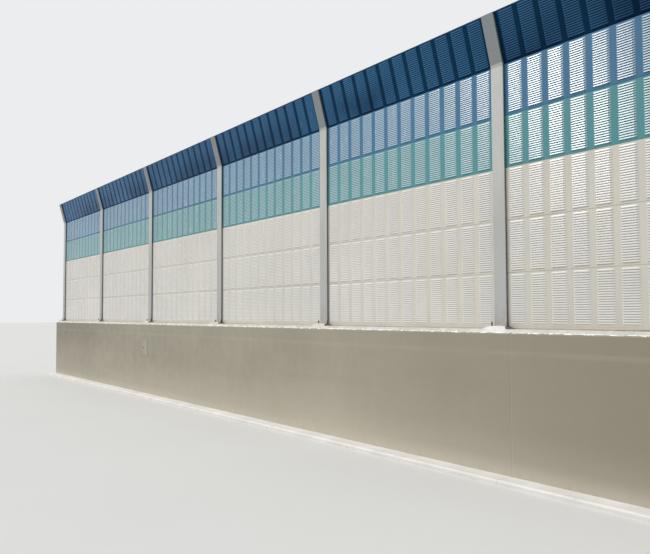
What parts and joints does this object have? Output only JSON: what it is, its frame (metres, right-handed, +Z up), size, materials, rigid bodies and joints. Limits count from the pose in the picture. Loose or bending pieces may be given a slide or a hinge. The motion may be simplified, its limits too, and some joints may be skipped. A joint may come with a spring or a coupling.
{
  "type": "highway noise barrier",
  "caption": "Row of louvred sound panels in coloured bands between steel posts with leaning heads, standing on a concrete parapet wall.",
  "frame": {"origin": "middle of the wall's length and thickness, on the ground face under the concrete", "axes": "+X along the row, +Z up, -Y towards the road that the louvres and the leaning heads face"},
  "size_m": [18.4, 0.6, 4.4253],
  "materials": {
    "concrete": "painted warm grey concrete, faint vertical streaks",
    "mortar": "rough white mortar",
    "kerb": "pale cast concrete",
    "post_paint": "pale grey paint on rolled steel",
    "bolt_steel": "dull weathered steel",
    "cream_paint": "satin cream coil coating",
    "teal_paint": "satin teal coil coating",
    "blue_paint": "satin light blue coil coating",
    "navy_paint": "satin dark blue coil coating",
    "seal_rubber": "black rubber",
    "galvanised": "dull galvanised sheet"
  },
  "bodies": {
    "root": {"wall_section_1": "concrete", "wall_section_2": "concrete", "wall_section_3": "concrete", "wall_section_4": "concrete", "wall_section_5": "concrete", "joint_fillers": "concrete", "foot_kerb": "kerb", "mortar_bed": "mortar", "mortar_haunches": "mortar", "anchor_bolts": "bolt_steel", "bottom_sills": "cream_paint", "post_1": "post_paint", "post_2": "post_paint", "post_3": "post_paint", "post_4": "post_paint", "post_5": "post_paint", "post_6": "post_paint", "post_7": "post_paint", "cream_panels_1": "cream_paint", "cream_panels_2": "cream_paint", "cream_panels_3": "cream_paint", "cream_panels_4": "cream_paint", "cream_panels_5": "cream_paint", "cream_panels_6": "cream_paint", "teal_panel_1": "teal_paint", "teal_panel_2": "teal_paint", "teal_panel_3": "teal_paint", "teal_panel_4": "teal_paint", "teal_panel_5": "teal_paint", "teal_panel_6": "teal_paint", "blue_panel_1": "blue_paint", "blue_panel_2": "blue_paint", "blue_panel_3": "blue_paint", "blue_panel_4": "blue_paint", "blue_panel_5": "blue_paint", "blue_panel_6": "blue_paint", "canopy_panel_1": "navy_paint", "canopy_panel_2": "navy_paint", "canopy_panel_3": "navy_paint", "canopy_panel_4": "navy_paint", "canopy_panel_5": "navy_paint", "canopy_panel_6": "navy_paint", "top_caps": "navy_paint", "panel_seals": "seal_rubber", "inspection_cover": "galvanised"}
  },
  "joints": []
}
